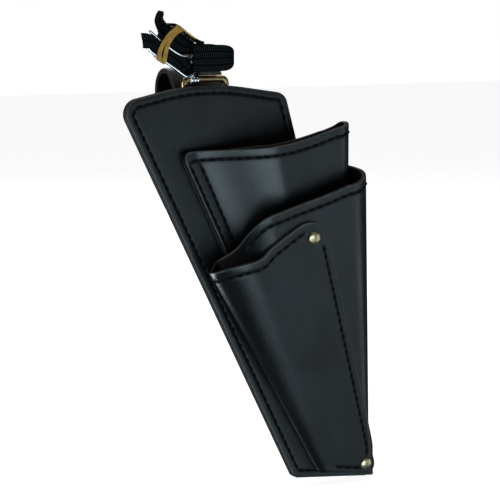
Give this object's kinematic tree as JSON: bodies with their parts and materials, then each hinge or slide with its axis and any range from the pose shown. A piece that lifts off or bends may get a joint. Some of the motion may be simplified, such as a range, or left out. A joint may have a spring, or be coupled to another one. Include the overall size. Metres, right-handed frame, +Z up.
{
  "type": "leather scissors holster",
  "caption": "Slanted black leather holster for scissors and shears with nested stitched pockets, a belt loop, a ring and a snap hook that holds a rolled webbing belt",
  "frame": {"origin": "centre of the belt passage behind the back plate", "axes": "+X runs along the belt to the right as seen from the front, +Y to the rear towards the wearer, +Z up"},
  "size_m": [0.1856, 0.0889, 0.319],
  "materials": {
    "leather_black": "smooth black cowhide, fine grain, satin",
    "thread_black": "waxed black sewing thread",
    "rivet_brass": "antique brass, worn bright on the crown",
    "ring_brass": "polished wire, slightly aged",
    "hook_chrome": "bright plated spring wire",
    "webbing_black": "ribbed woven webbing, matt",
    "band_ochre": "matt ochre rubber"
  },
  "bodies": {
    "case": {"front_panel": "leather_black", "rear_lining": "leather_black", "perimeter_thread": "thread_black", "rear_pocket": "leather_black", "rear_pocket_welt": "leather_black", "rear_pocket_thread": "thread_black", "middle_pocket": "leather_black", "middle_pocket_thread": "thread_black", "front_pocket": "leather_black", "front_pocket_thread": "thread_black", "left_seam_thread": "thread_black", "upper_rivet_cap": "rivet_brass", "upper_rivet_post": "rivet_brass", "lower_rivet_cap": "rivet_brass", "lower_rivet_post": "rivet_brass", "belt_loop": "leather_black", "belt_loop_caps": "rivet_brass", "belt_loop_posts": "rivet_brass", "ring_tab": "leather_black", "ring_tab_cap": "rivet_brass", "ring_tab_post": "rivet_brass"},
    "ring": {"ring": "ring_brass"},
    "hook": {"hook_frame": "hook_chrome", "gate_pin": "hook_chrome", "webbing_belt": "webbing_black", "webbing_thread": "thread_black"},
    "gate": {"hook_gate": "hook_chrome"},
    "band": {"rubber_band": "band_ochre"}
  },
  "joints": [
    {"name": "ring_swing", "type": "hinge", "parent": "case", "child": "ring", "pos_m": [0.0005, -0.0164, 0.0108], "axis": [1, 0, 0], "range_deg": [-10, 2]},
    {"name": "hook_swing", "type": "hinge", "parent": "ring", "child": "hook", "pos_m": [-0.0105, -0.0164, 0.0252], "axis": [1, 0, 0], "range_deg": [-20, 25]},
    {"name": "gate_open", "type": "hinge", "parent": "hook", "child": "gate", "pos_m": [-0.01241, -0.026, 0.03737], "axis": [0, 1, 0], "range_deg": [0, 20], "stiffness_Nm_per_rad": 0.05},
    {"name": "band_slide", "type": "slide", "parent": "hook", "child": "band", "axis": [-0.8434, 0, 0.5373], "range_m": [-0.003, 0.003]}
  ]
}
